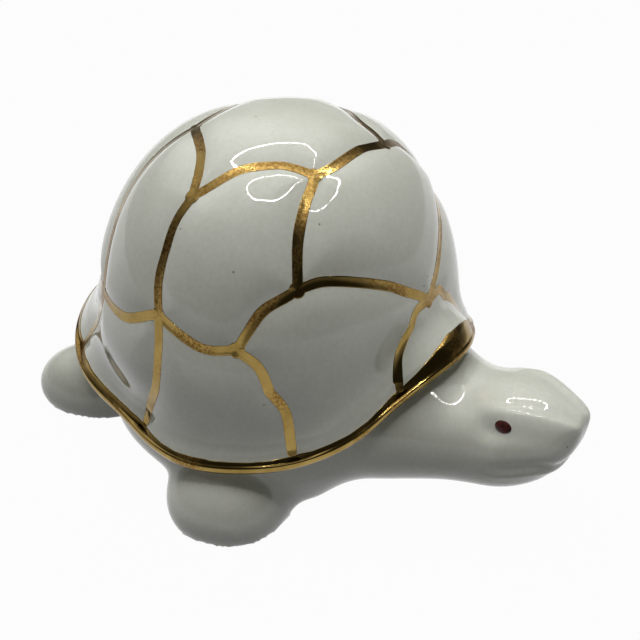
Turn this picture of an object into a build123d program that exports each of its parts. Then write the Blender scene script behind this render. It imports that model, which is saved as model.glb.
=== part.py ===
from build123d import *
from math import acos, cos, exp, pi, radians, sin, tan
import os

# A slip-cast, glazed turtle ornament with gold lustre lines.
# Millimetres. The origin is on the ground, under the axis of the domed shell.
# The nose points along +X, the turtle's left side is +Y, and +Z is up.
# A "turn" is an angle round the shell's axis, in degrees, 0 over the nose.
# The casting is modelled in flat facets, laid between rings of places on its surfaces.

# Shell: a dome, a superellipse in every upright section, that runs out into a flared skirt
shell_front = 47.4
shell_side = 51.7
shell_rear = 50.8
shell_top = 91.8
shell_wall = 4.2
dome_base = 25.0
dome_power = 2.39
rim_height = 18.5
skirt_height_front = 10.7
skirt_height_side = 26.0
skirt_height_rear = 21.0
lip_height = 2.2
lip_reach_front = 6.1
lip_reach_side = 0.6
lip_reach_rear = 11.3

# The skirt's curve: how long it keeps each end's direction, and its fall at the lip
skirt_start_share = 0.4
skirt_end_share = 0.3
skirt_end_fall = 45.0

# The lip climbs over the neck and rises a little at the tail
arch_height = 21.2
arch_half_turn = 39.4
tail_rise = 7.8

# Valleys between the puffy scutes, and the gold film on their floors
valley_depth = 1.2
valley_width = 6.8
gold_width = 2.4
gold_thickness = 0.4
dab_radius = 1.7
dab_extra_depth = 0.12
film_gap = 0.35
rim_film = 0.35

# Lower casting: belly bowl, neck and head, feet, tail
body_wall = 4.0
belly_radius = 30.0
belly_shoulder_height = 15.0
lip_overhang = 1.5
rebate_height = 5.0
seat_clearance = 0.05
vent_radius = 4.0
vent_offset = 17.0
neck_length = 41.6
head_top_height = 39.0
head_half_width = 17.4

front_foot_radius = 17.0
front_foot_rise = 15.0
front_foot_half_length = 23.5
front_foot_turn = 75.0
front_foot_reach = 37.0
rear_foot_radius = 13.0
rear_foot_rise = 13.0
rear_foot_half_length = 19.0
rear_foot_turn = 153.4
rear_foot_reach = 55.9
foot_centre_height = 4.0
tail_length = 21.2
tail_radius = 5.5
tail_tip_radius = 2.5

eye_turn = 33.0
eye_half_length = 2.2
eye_half_height = 1.8
eye_relief = 0.35

# One overrun serves every cut
overrun = 10.0

# Facets round and down each form
shell_columns = 60
dome_rows = 11
skirt_rows = 5
inner_rows = 6
bowl_rows = 4
neck_columns = 28
foot_columns = 16
foot_rows = 9
tail_columns = 12
dab_corners = 8
eye_columns = 20
seam_steps = 6

# Places on the shell: (turn, down share). The down share is 0 at the top of the dome,
# 1 where the skirt starts and 2 at the lip. The left side mirrors the right one.
junction_shares = {
    "crown_front": (33.5, 0.355),
    "crown_side": (95.5, 0.449),
    "crown_rear": (153.2, 0.283),
    "belt_shoulder": (50.3, 0.707),
    "belt_front": (68.0, 0.89),
    "belt_side": (93.5, 0.852),
    "belt_rear": (126.0, 0.937),
    "nape": (0.0, 0.97),
    "rump": (180.0, 0.93),
}

# Seams on one side: the places that each one runs through
side_seam_shares = {
    "crown": [
        ("crown_front", (59.0, 0.263), (79.2, 0.301), "crown_side"),
        ("crown_side", (112.5, 0.278), "crown_rear"),
    ],
    "upper": [
        ("crown_front", (44.5, 0.439), (49.5, 0.556), "belt_shoulder"),
        ("crown_side", (97.2, 0.544), (95.8, 0.754), "belt_side"),
        ("crown_rear", (146.2, 0.439), (136.0, 0.779), "belt_rear"),
    ],
    "belt": [
        ("nape", (10.8, 0.882), (19.2, 0.81), (31.3, 0.734), "belt_shoulder"),
        ("belt_shoulder", (60.3, 0.764), (65.5, 0.842), "belt_front"),
        ("belt_front", (76.8, 0.907), (83.2, 0.897), "belt_side"),
        ("belt_side", (105.8, 0.912), (114.2, 0.93), "belt_rear"),
        ("belt_rear", (152.0, 0.955), "rump"),
    ],
    "skirt": [
        ("nape", (10.0, 0.985), (17.5, 1.2), (20.5, 1.55), (22.0, 1.88)),
        ("belt_front", (60.3, 0.965), (55.0, 1.231), (53.8, 1.678), (53.5, 1.88)),
        ("belt_side", (92.5, 0.957), (94.0, 1.241), (99.8, 1.648), (101.8, 1.864)),
        ("belt_rear", (133.0, 1.18), (138.8, 1.503), (141.5, 1.88)),
    ],
}

# Seams that cross the midline
middle_seam_shares = [
    ((-33.5, 0.355), (-13.0, 0.328), (13.0, 0.328), (33.5, 0.355)),
    ((153.2, 0.283), (180.0, 0.235), (206.8, 0.283)),
]

# Neck and head stations from the shell wall to the nose tip:
# (share of the neck length, centre and half height as shares of the head's top height,
#  half width as a share of the head's half width)
neck_station_shares = [
    (-0.329, 0.494, 0.494, 1.90),
    (-0.130, 0.495, 0.485, 1.55),
    (0.050, 0.515, 0.464, 1.27),
    (0.240, 0.523, 0.408, 1.07),
    (0.421, 0.556, 0.382, 0.995),
    (0.592, 0.617, 0.379, 0.99),
    (0.734, 0.644, 0.341, 0.874),
    (0.858, 0.665, 0.280, 0.69),
    (0.948, 0.690, 0.203, 0.483),
    (1.000, 0.733, 0.108, 0.264),
]
# The section that passes through the eyes, in the same shares
eye_station_shares = (0.606, 0.621, 0.377, 0.985)

os.makedirs("parts", exist_ok=True)

dome_rise = shell_top - dome_base
turns = [360 / shell_columns * column for column in range(shell_columns)]


def facets(rings, closed=False):
    """A solid of flat facets laid between rings of places. A ring of one place is a tip."""
    if closed:
        rings = rings + [rings[0]]
    corners = []
    for near, far in zip(rings, rings[1:]):
        count = max(len(near), len(far))
        for here in range(count):
            after = (here + 1) % count
            if len(near) == 1:
                corners.append((near[0], far[after], far[here]))
            elif len(far) == 1:
                corners.append((near[here], near[after], far[0]))
            else:
                corners.append((near[here], near[after], far[after]))
                corners.append((near[here], far[after], far[here]))
    if not closed:
        corners += [ring for ring in (rings[0], rings[-1]) if len(ring) > 1]
    return Solid(Shell([Face(Wire.make_polygon(ring, close=True)) for ring in corners]))


def outward(turn):
    """The level direction away from the shell's axis."""
    return Vector(cos(radians(turn)), sin(radians(turn)), 0)


def level_place(turn, radius, height):
    """A place given by its turn, its distance from the shell's axis and its height."""
    return outward(turn) * radius + Vector(0, 0, height)


def round_plan(turn, front, side, rear):
    """A size that runs smoothly from its front value over its side value to its rear one."""
    along = cos(radians(turn))
    return side + ((front if along > 0 else rear) - side) * along**2


def shell_radius(turn):
    """Plan radius of the dome at its widest level."""
    return round_plan(turn, shell_front, shell_side, shell_rear)


def rim_z(turn):
    """Height of the lip's lower edge: a bell over the neck and a soft rise at the tail."""
    turn = abs((turn + 180) % 360 - 180)
    bell = arch_height * exp(-((turn / arch_half_turn) ** 2))
    rear = tail_rise * min(cos(radians(turn)), 0) ** 2
    return rim_height + bell + rear


def lip_radius(turn):
    """Plan radius of the lip."""
    return shell_radius(turn) + round_plan(turn, lip_reach_front, lip_reach_side, lip_reach_rear)


def skirt_height(turn):
    """Height of the skirt above the lip's lower edge."""
    return round_plan(turn, skirt_height_front, skirt_height_side, skirt_height_rear)


def skirt_tilt(turn):
    """The tilt from the dome's top at which the skirt leaves the dome."""
    share = (rim_z(turn) + skirt_height(turn) - dome_base) / dome_rise
    return acos(share ** (dome_power / 2))


def dome_point(turn, tilt, inset=0):
    """Radius and height on the dome, or on its inner side, at a tilt from its top."""
    radius = (shell_radius(turn) - inset) * sin(tilt) ** (2 / dome_power)
    height = dome_base + (dome_rise - inset) * cos(tilt) ** (2 / dome_power)
    return radius, height


def dome_fall(turn, radius, height):
    """The dome's direction at a place, outward and down, as a unit pair."""
    across = (radius / shell_radius(turn)) ** (dome_power - 1) / shell_radius(turn)
    up = ((height - dome_base) / dome_rise) ** (dome_power - 1) / dome_rise
    size = (across**2 + up**2) ** 0.5
    return up / size, -across / size


def skirt_point(turn, share):
    """Radius, height and direction on the skirt, a cubic curve from the dome to the lip."""
    start = dome_point(turn, skirt_tilt(turn))
    leave = dome_fall(turn, *start)
    end = lip_radius(turn), rim_z(turn) + lip_height
    arrive = cos(radians(skirt_end_fall)), -sin(radians(skirt_end_fall))
    first = [start[axis] + leave[axis] * skirt_height(turn) * skirt_start_share for axis in (0, 1)]
    second = [end[axis] - arrive[axis] * skirt_height(turn) * skirt_end_share for axis in (0, 1)]
    rest = 1 - share
    spot = [rest**3 * start[axis] + 3 * rest**2 * share * first[axis] + 3 * rest * share**2 * second[axis]
            + share**3 * end[axis] for axis in (0, 1)]
    run = [rest**2 * (first[axis] - start[axis]) + 2 * rest * share * (second[axis] - first[axis])
           + share**2 * (end[axis] - second[axis]) for axis in (0, 1)]
    return spot, run


def skin(turn, down, lift=0):
    """A place on the outer skin, raised by lift along the skin's own normal."""
    if down <= 1:
        spot = dome_point(turn, skirt_tilt(turn) * down)
        run = dome_fall(turn, *spot)
    else:
        spot, run = skirt_point(turn, down - 1)
    normal = outward(turn) * -run[1] + Vector(0, 0, run[0])
    return level_place(turn, *spot) + normal.normalized() * lift


def seat_radius(turn):
    """Plan radius of the shell's inner wall, which runs straight down from the dome."""
    return dome_point(turn, skirt_tilt(turn), shell_wall)[0]


def shell_casting():
    """The shell as an open bowl turned over: down the outside, round the lip and up the inside."""
    rings = [[Vector(0, 0, shell_top)]]
    rings += [[skin(turn, (row + 1) / dome_rows) for turn in turns] for row in range(dome_rows)]
    rings += [[skin(turn, 1 + (row + 1) / skirt_rows) for turn in turns] for row in range(skirt_rows)]
    rings += [[level_place(turn, lip_radius(turn), rim_z(turn)) for turn in turns]]
    rings += [[level_place(turn, seat_radius(turn), rim_z(turn)) for turn in turns]]
    for row in range(inner_rows):
        share = 1 - row / inner_rows
        rings.append([level_place(turn, *dome_point(turn, skirt_tilt(turn) * share, shell_wall)) for turn in turns])
    rings.append([Vector(0, 0, shell_top - shell_wall)])
    return facets(rings)


def place(name_or_share, side):
    """Turn and down share of a junction or a free place, on the left (1) or right (-1)."""
    turn, down = junction_shares.get(name_or_share, name_or_share)
    return side * turn, down


def seams(group, side):
    """Each seam of a group on one side, as the list of its places."""
    return [[place(point, side) for point in seam] for seam in side_seam_shares[group]]


def seam_place(seam, share):
    """Turn and down share at a share of a seam's length, on a smooth curve through its places."""
    spans = len(seam) - 1
    span = min(int(share * spans), spans - 1)
    rest = share * spans - span
    before, start, end, after = (seam[min(max(span + step, 0), spans)] for step in (-1, 0, 1, 2))
    return tuple(
        start[axis] + rest * (end[axis] - before[axis]) / 2
        + rest**2 * (2 * before[axis] - 5 * start[axis] + 4 * end[axis] - after[axis]) / 2
        + rest**3 * (3 * start[axis] - before[axis] - 3 * end[axis] + after[axis]) / 2
        for axis in (0, 1)
    )


def seam_point(seam, share, lift=0):
    """The place on the skin at a share of a seam's length."""
    return skin(*seam_place(seam, share), lift)


def share_at(seam, distance):
    """The share of a seam's length at which it is this far from its start."""
    low, high = 0, 1
    for halving in range(16):
        middle = (low + high) / 2
        if (seam_point(seam, middle) - seam_point(seam, 0)).length < distance:
            low = middle
        else:
            high = middle
    return high


def leaving(seam):
    """The direction in which a seam leaves its start."""
    return (seam_point(seam, share_at(seam, gold_width)) - seam_point(seam, 0)).normalized()


def film_stop(seam):
    """How far from a seam's start its film begins: clear of the dab and of the next seam's film."""
    start = seam_point(seam, 0)
    clear = 0
    for other in every_seam:
        for path in (other, other[::-1]):
            if path not in (seam, seam[::-1]) and (seam_point(path, 0) - start).length < film_gap:
                half_angle = radians(leaving(seam).get_angle(leaving(path)) / 2)
                clear = max(clear, dab_radius, gold_width / 2 / tan(half_angle))
    return clear + film_gap


def film_shares(seam):
    """The shares of a seam's length at which its film has a section."""
    first = share_at(seam, film_stop(seam))
    last = 1 - share_at(seam[::-1], film_stop(seam[::-1]))
    return [first + (last - first) * step / seam_steps for step in range(seam_steps + 1)]


def seam_section(seam, share, low, low_width, high, high_width):
    """Four corners square to a seam, between two levels counted from the skin."""
    spot = seam_point(seam, share)
    normal = (seam_point(seam, share, valley_depth) - spot).normalized()
    step = 1 / seam_steps**2
    tangent = seam_point(seam, min(share + step, 1)) - seam_point(seam, max(share - step, 0))
    across = tangent.cross(normal).normalized() / 2
    floor = spot + normal * low
    top = spot + normal * high
    return [floor - across * low_width, floor + across * low_width, top + across * high_width, top - across * high_width]


def valley(seam):
    """The space pressed into the shell along a seam: a flat floor between two slopes."""
    opening = 2 * valley_width - gold_width
    return facets([seam_section(seam, share, -valley_depth, gold_width, valley_depth, opening)
                   for share in [0] + film_shares(seam) + [1]])


def film_strip(seam):
    """The gold that lies on the floor of one valley."""
    return facets([seam_section(seam, share, -valley_depth, gold_width, gold_thickness - valley_depth, gold_width)
                   for share in film_shares(seam)])


def dab_ring(spot, lift, radius):
    """The corners of a dab, at a height counted from the skin."""
    centre = skin(*spot, lift)
    normal = (skin(*spot, lift + valley_depth) - centre).normalized()
    along = Vector(-sin(radians(spot[0])), cos(radians(spot[0])), 0)
    down = normal.cross(along)
    angles = [2 * pi * corner / dab_corners for corner in range(dab_corners)]
    return [centre + along * radius * cos(angle) + down * radius * sin(angle) for angle in angles]


def dimple(spot):
    """The space pressed into the shell where seams meet."""
    depth = valley_depth + dab_extra_depth
    slope = (valley_width - gold_width) / 2 / valley_depth
    return facets([dab_ring(spot, -depth, dab_radius), dab_ring(spot, depth, dab_radius + 2 * depth * slope)])


def gold_dab(spot):
    """The dab of gold on the floor of a dimple."""
    depth = valley_depth + dab_extra_depth
    return facets([dab_ring(spot, -depth, dab_radius), dab_ring(spot, gold_thickness - valley_depth, dab_radius)])


def wall_radius(turn, inset):
    """Plan radius of the body's wall: the outer side under the lip, or the hollow's side."""
    return seat_radius(turn) - seat_clearance - inset if inset else shell_radius(turn) - lip_overhang


def bowl(inset, rise):
    """The belly bowl: flat underneath, rounded up to the wall, and closed above the wall's top."""
    foot = belly_radius - inset
    rings = []
    for row in range(bowl_rows + 1):
        angle = pi / 2 * row / bowl_rows
        height = inset + (belly_shoulder_height - inset) * (1 - cos(angle))
        rings.append([level_place(turn, foot + (wall_radius(turn, inset) - foot) * sin(angle), height) for turn in turns])
    for radius in (lambda turn: wall_radius(turn, inset), lambda turn: foot):
        rings.append([level_place(turn, radius(turn), rim_z(turn) + rebate_height + rise) for turn in turns])
    rings.append([Vector(0, 0, rim_height + rebate_height + rise)])
    return facets(rings)


def shell_space():
    """The space that the shell takes above the seat, with the seat's clearance all round."""
    rings = []
    for turn in turns:
        inner = seat_radius(turn) - seat_clearance
        outer = lip_radius(turn) + rim_film + seat_clearance
        low = rim_z(turn) - seat_clearance
        high = shell_top + overrun
        rings.append([level_place(turn, *corner) for corner in ((outer, low), (inner, low), (inner, high), (outer, high))])
    return facets(rings, closed=True)


def oval(centre, across, up, columns):
    """The corners of an oval ring about a centre, from its two half axes."""
    angles = [2 * pi * column / columns for column in range(columns)]
    return [centre + across * cos(angle) + up * sin(angle) for angle in angles]


def neck_and_head():
    """Oval sections from inside the shell to the nose."""
    rings = []
    for shares in neck_station_shares:
        reach, centre_height, half_height, half_width = neck_station(*shares)
        centre = Vector(reach, 0, centre_height)
        rings.append(oval(centre, Vector(0, half_width, 0), Vector(0, 0, half_height), neck_columns))
    return facets(rings)


def neck_station(reach_share, centre_share, half_height_share, half_width_share):
    """Place and half sizes of one oval section of the neck or head."""
    reach = shell_front + neck_length * reach_share
    return reach, head_top_height * centre_share, head_top_height * half_height_share, head_half_width * half_width_share


def paw(turn, reach, half_length, radius, rise):
    """A rounded foot whose long axis points away from the shell's axis."""
    centre = level_place(turn, reach, foot_centre_height)
    side = outward(turn + 90)
    rings = [[centre - outward(turn) * half_length]]
    for row in range(1, foot_rows):
        angle = pi * row / foot_rows
        spot = centre - outward(turn) * half_length * cos(angle)
        rings.append(oval(spot, side * radius * sin(angle), Vector(0, 0, rise * sin(angle)), foot_columns))
    rings.append([centre + outward(turn) * half_length])
    return facets(rings)


def tail():
    """A stub tail that narrows to a rounded tip on the ground."""
    tip = shell_rear + tail_length
    across, up = Vector(0, 1, 0), Vector(0, 0, 1)
    rings = []
    for reach, radius, centre in (
        (belly_radius, tail_radius, tail_radius),
        (tip - tail_tip_radius, tail_tip_radius, tail_tip_radius),
        (tip - tail_tip_radius / 4, tail_tip_radius * 2 / 3, tail_tip_radius),
    ):
        rings.append(oval(Vector(-reach, 0, centre), across * radius, up * radius, tail_columns))
    rings.append([Vector(-tip, 0, tail_tip_radius)])
    return facets(rings)


def gilded_edge():
    """The gold film round the lip's outer edge."""
    rings = []
    for turn in turns:
        inner = lip_radius(turn)
        outer = inner + rim_film
        low, high = rim_z(turn), rim_z(turn) + lip_height
        rings.append([level_place(turn, *corner) for corner in ((inner, low), (inner, high), (outer, high), (outer, low))])
    return facets(rings, closed=True)


def touches(seam, spot):
    """Whether a seam starts or ends at a meeting place."""
    return any((seam_point(seam, share) - skin(*spot)).length < film_gap for share in (0, 1))


def eye_plane(side):
    """The plane that touches the head at one eye, facing outward."""
    reach, centre_height, half_height, half_width = neck_station(*eye_station_shares)
    along, up = cos(radians(eye_turn)), sin(radians(eye_turn))
    spot = Vector(reach, side * half_width * along, centre_height + half_height * up)
    facing = Vector(0, side * along / half_width, up / half_height)
    return Plane(origin=spot, x_dir=(1, 0, 0), z_dir=facing)


def eye_dot(side):
    """An oval dot that stands a little off the head and reaches into it."""
    face = eye_plane(side)
    along, up = face.x_dir * eye_half_length, face.y_dir * eye_half_height
    levels = eye_relief, eye_relief - eye_half_height
    return facets([oval(face.origin + face.z_dir * level, along, up, eye_columns) for level in levels])


middle_seams = [list(seam) for seam in middle_seam_shares]
every_seam = [seam for group in side_seam_shares for side in (-1, 1) for seam in seams(group, side)] + middle_seams
every_spot = [
    place(name, side)
    for name, (turn, down) in junction_shares.items()
    for side in ((1,) if turn % 180 == 0 else (-1, 1))
]

# Carapace: the domed upper half of the casting, with its valleys
with BuildPart() as carapace:
    add(shell_casting())
    add([valley(seam) for seam in every_seam] + [dimple(spot) for spot in every_spot], mode=Mode.SUBTRACT)
carapace.part.label = "carapace"
export_step(carapace.part, "parts/carapace.step")

# Body: belly bowl with a wall up into the shell, neck and head, four feet and a stub tail
with BuildPart() as body:
    add(bowl(0, 0))
    add(neck_and_head())
    for side in (-1, 1):
        add(paw(side * front_foot_turn, front_foot_reach, front_foot_half_length, front_foot_radius, front_foot_rise))
        add(paw(side * rear_foot_turn, rear_foot_reach, rear_foot_half_length, rear_foot_radius, rear_foot_rise))
    add(tail())
    add(bowl(body_wall, overrun), mode=Mode.SUBTRACT)
    add(shell_space(), mode=Mode.SUBTRACT)
    split(bisect_by=Plane.XY, keep=Keep.TOP)
    with BuildSketch(Plane.XY):
        with Locations((-vent_offset, 0)):
            Circle(vent_radius)
    extrude(amount=body_wall + overrun, mode=Mode.SUBTRACT)
body.part.label = "body"
export_step(body.part, "parts/body.step")

# Gold lustre: one node for each group of brush lines, and one for the lip's edge.
# Each meeting place has one dab, which belongs to the first group that reaches it.
free_spots = list(every_spot)
for group in side_seam_shares:
    for side, side_name in ((-1, "right"), (1, "left")):
        group_seams = seams(group, side)
        if group == "crown" and side > 0:
            group_seams = group_seams + middle_seams
        spots = [spot for spot in free_spots if any(touches(seam, spot) for seam in group_seams)]
        free_spots = [spot for spot in free_spots if spot not in spots]
        with BuildPart() as gold_lines:
            add([film_strip(seam) for seam in group_seams] + [gold_dab(spot) for spot in spots])
        gold_lines.part.label = f"gold_{group}_{side_name}"
        export_step(gold_lines.part, f"parts/gold_{group}_{side_name}.step")

with BuildPart() as gold_edge:
    add(gilded_edge())
gold_edge.part.label = "gold_edge"
export_step(gold_edge.part, "parts/gold_edge.step")

# Eyes: two oval dots of enamel on the sides of the head
for side, name in ((-1, "right_eye"), (1, "left_eye")):
    with BuildPart() as eye:
        add(eye_dot(side))
        add(body.part, mode=Mode.SUBTRACT)
    eye.part.label = name
    export_step(eye.part, f"parts/{name}.step")
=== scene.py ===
# %% [markdown]
# # A glazed turtle ornament with gold lustre
#
# The object is a slip-cast ceramic turtle. It was glazed off-white and fired, then gold
# lustre was brushed into the valleys between the puffy scutes of its shell and along the
# flared lip, and two small oval eyes were painted on. Here each of those is made as a
# surface worked out with numpy: a formula gives whole arrays of places, and the arrays
# go into Blender meshes at once. Such a soft shape could be sculpted by hand too, but a
# formula can be read, measured and changed. First come the tools and the CAD frame.

import bpy
import numpy as np
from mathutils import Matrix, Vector


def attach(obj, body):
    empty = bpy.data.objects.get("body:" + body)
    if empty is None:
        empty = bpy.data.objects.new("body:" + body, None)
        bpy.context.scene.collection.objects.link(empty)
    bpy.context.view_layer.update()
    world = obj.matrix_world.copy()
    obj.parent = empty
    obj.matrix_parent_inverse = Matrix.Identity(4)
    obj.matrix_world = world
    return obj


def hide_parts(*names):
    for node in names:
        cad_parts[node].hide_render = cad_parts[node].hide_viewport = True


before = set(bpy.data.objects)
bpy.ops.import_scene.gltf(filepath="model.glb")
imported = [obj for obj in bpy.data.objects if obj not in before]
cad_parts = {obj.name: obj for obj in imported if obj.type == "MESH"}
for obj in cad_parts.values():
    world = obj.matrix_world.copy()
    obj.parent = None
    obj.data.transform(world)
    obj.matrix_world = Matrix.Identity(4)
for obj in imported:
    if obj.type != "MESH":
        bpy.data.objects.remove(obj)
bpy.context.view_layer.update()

MM = 0.001
scene = bpy.context.scene

# %% [markdown]
# Every mesh below is a grid of points: rows along one parameter, columns along the
# other. A closed ring joins its last column to its first. Where all the points of the
# first or last row meet, that row becomes a single pole, so that no hole is left. Adding
# the faces one by one would give the same mesh, only much more slowly.

# %% A grid of points becomes a mesh


def grid_faces(rows, columns, ring):
    """Quads of a grid: (r, c), (r, c+1), (r+1, c+1), (r+1, c), with c+1 wrapping on a ring."""
    last = columns if ring else columns - 1
    r, c = np.meshgrid(np.arange(rows - 1), np.arange(last), indexing="ij")
    right = (c + 1) % columns
    corners = [r * columns + c, r * columns + right, (r + 1) * columns + right, (r + 1) * columns + c]
    return np.stack(corners, axis=-1).reshape(-1, 4)


def mesh_from_arrays(name, places_mm, quads, triangles=None):
    """A smooth-shaded mesh object from places in millimetres and faces as index arrays."""
    mesh = bpy.data.meshes.new(name)
    faces = quads.tolist() + ([] if triangles is None else triangles.tolist())
    mesh.from_pydata((np.asarray(places_mm) * MM).tolist(), [], faces)
    mesh.polygons.foreach_set("use_smooth", np.ones(len(mesh.polygons), dtype=bool))
    mesh.update()
    piece = bpy.data.objects.new(name, mesh)
    scene.collection.objects.link(piece)
    return piece


def closed_skin(grid, flip=False):
    """A tube of rings closed by a pole at both ends: (rows, columns, 3) to places and faces.

    The first and last rows are averaged to one place each and fanned to the next ring.
    """
    rows, columns, _ = grid.shape
    body = grid[1:-1].reshape(-1, 3)
    places = np.vstack([grid[0].mean(axis=0), body, grid[-1].mean(axis=0)])
    quads = grid_faces(rows - 2, columns, True) + 1
    around = np.arange(columns)
    after = (around + 1) % columns
    first = np.stack([np.zeros(columns, int), after + 1, around + 1], axis=1)
    base = 1 + (rows - 3) * columns
    last = np.stack([np.full(columns, len(places) - 1), base + around, base + after], axis=1)
    fans = np.vstack([first, last])
    if flip:
        quads, fans = quads[:, ::-1], fans[:, ::-1]
    return places, quads, fans


# %% [markdown]
# The shell is a dome whose upright sections are superellipses, fuller than a circle. It
# runs out into a long skirt with a gilded lip. A lathe or a squashed ball could start such
# a form, but its plan isn't round and its lip rises in an arch over the neck, so it is a
# formula of two parameters: the turn round the shell's axis, and a down share that is 0 at
# the top, 1 where the skirt starts and 2 at the lip.

# %% Sizes of the shell, in millimetres
# Each plan holds a front, a side and a rear value, and each wave of the lip a middle and a
# width in degrees and a height.
shell_plan = (47.4, 51.7, 50.8)
shell_top = 91.8
shell_wall = 4.2
dome_base = 25.0
dome_power = 2.39
dome_rise = shell_top - dome_base
rim_height = 18.5
skirt_plan = (10.7, 26.0, 21.0)
lip_height = 2.2
lip_plan = (6.1, 0.6, 11.3)
lip_waves = ((0.0, 10.0, 1.6), (24.0, 9.0, -1.2), (82.0, 13.0, 1.5), (113.0, 14.0, -2.2))
skirt_start_share = 0.4
skirt_end_share = 0.3
skirt_end_fall = np.radians(45.0)
arch_height = 21.2
arch_half_turn = 39.4
tail_rise = 7.8
print("dome length, width and top", shell_plan[0] + shell_plan[2], 2 * shell_plan[1], shell_top)

# %% Helpers for turns, bells and rings


def full_turn(count):
    """Evenly spaced turns in radians, all the way round."""
    return np.linspace(0, 2 * np.pi, count, endpoint=False)


def degrees_from_front(turn):
    """A turn in radians as degrees from the front, between −180 and 180."""
    return (np.degrees(turn) + 180) % 360 - 180


def bell(distance, spread):
    """exp(−(distance/spread)²): 1 at the middle, fading to nothing on both sides."""
    return np.exp(-((distance / spread) ** 2))


def round_axis(turn, radius, height):
    """Places round the shell's axis: (r cos(turn), r sin(turn), z)."""
    return np.stack(np.broadcast_arrays(radius * np.cos(turn), radius * np.sin(turn), height), axis=-1)


# %% Plan and lip of the shell


def round_plan(turn, plan):
    """A size with a front, a side and a rear value: side + (end − side)·cos²(turn)."""
    front, side, rear = plan
    along = np.cos(turn)
    return side + (np.where(along > 0, front, rear) - side) * along**2


def rim_level(turn):
    """Height of the lip's lower edge: rim + arch·exp(−(turn/half)²) + rise·cos² at the tail."""
    degrees = np.abs(degrees_from_front(turn))
    rear = tail_rise * np.minimum(np.cos(np.radians(degrees)), 0) ** 2
    return rim_height + arch_height * bell(degrees, arch_half_turn) + rear


def lip_radius(turn):
    """Plan radius of the lip, with the slow waves of a hand-finished edge.

    Each wave is a bell: height·exp(−((|turn| − middle)/width)²).
    """
    degrees = np.abs(degrees_from_front(turn))
    waves = sum(height * bell(degrees - middle, width) for middle, width, height in lip_waves)
    return round_plan(turn, shell_plan) + round_plan(turn, lip_plan) + waves


print("lip height at the neck, side and tail", rim_level(np.radians([0, 90, 180])).round(1))

# %% The smooth skin of the shell


def skirt_tilt(turn):
    """The tilt at which the skirt leaves the dome: arccos(h^(p/2)), with h its share of the rise."""
    share = (rim_level(turn) + round_plan(turn, skirt_plan) - dome_base) / dome_rise
    return np.arccos(share ** (dome_power / 2))


def dome_place(turn, tilt, inset=0.0):
    """Dome: r = R sin(t)^(2/p), z = base + rise cos(t)^(2/p). An inset gives the inner side."""
    radius = (round_plan(turn, shell_plan) - inset) * np.sin(tilt) ** (2 / dome_power)
    height = dome_base + (dome_rise - inset) * np.cos(tilt) ** (2 / dome_power)
    return radius, height


def shell_profile(turn, down):
    """Radius and height of the skin at a turn and a down share.

    The skirt is a cubic Bézier curve. It leaves along the dome's own slope, whose normal is
    (r^(p−1)/R^p, z^(p−1)/rise^p), and reaches the lip along a falling line.
    """
    reach = round_plan(turn, shell_plan)
    skirt = round_plan(turn, skirt_plan)
    tilt_end = skirt_tilt(turn)
    radius, height = dome_place(turn, tilt_end * np.minimum(down, 1))
    start = np.stack(dome_place(turn, tilt_end))
    across = (start[0] / reach) ** (dome_power - 1) / reach
    up = ((start[1] - dome_base) / dome_rise) ** (dome_power - 1) / dome_rise
    leave = np.stack([up, -across]) / np.hypot(up, across)
    end = np.stack([lip_radius(turn), rim_level(turn) + lip_height])
    fall = np.array([np.cos(skirt_end_fall), -np.sin(skirt_end_fall)])
    arrive = fall.reshape((2,) + (1,) * np.ndim(turn))
    first = start + leave * skirt * skirt_start_share
    second = end - arrive * skirt * skirt_end_share
    t = np.clip(down - 1, 0, 1)
    s = 1 - t
    curve = s**3 * start + 3 * s**2 * t * first + 3 * s * t**2 * second + t**3 * end
    return np.where(down > 1, curve[0], radius), np.where(down > 1, curve[1], height)


def shell_skin(turn, down):
    """Places in millimetres on the smooth skin."""
    return round_axis(turn, *shell_profile(turn, down))


ends = shell_skin(np.zeros(2), np.array([0.0, 2.0]))
print("skin at the top and at the lip over the neck", ends.round(1).tolist())

# %% Normals of the skin
normal_step = 1e-3
nearest_pole_share = 0.02


def skin_normal(turn, down):
    """Outward unit normal: the cross product of two small steps along the skin's parameters."""
    down = np.clip(down, nearest_pole_share, 2 - normal_step)
    along = shell_skin(turn + normal_step, down) - shell_skin(turn - normal_step, down)
    below = shell_skin(turn, down + normal_step) - shell_skin(turn, down - normal_step)
    normal = np.cross(below, along)
    return normal / np.linalg.norm(normal, axis=-1, keepdims=True)


right_side = skin_normal(np.radians([-90.0]), np.array([0.6]))
print("normal on the right side", right_side.round(2).tolist())

# %% [markdown]
# The seams between the scutes are lines on that skin. Each one is given by the turn and
# down share of its two ends and of two or more places between, and a smooth curve is
# passed through them. Curve objects would do too, but they would have to be projected onto
# the dome. The turtle's left side mirrors its right side, but for one uneven place.

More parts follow.
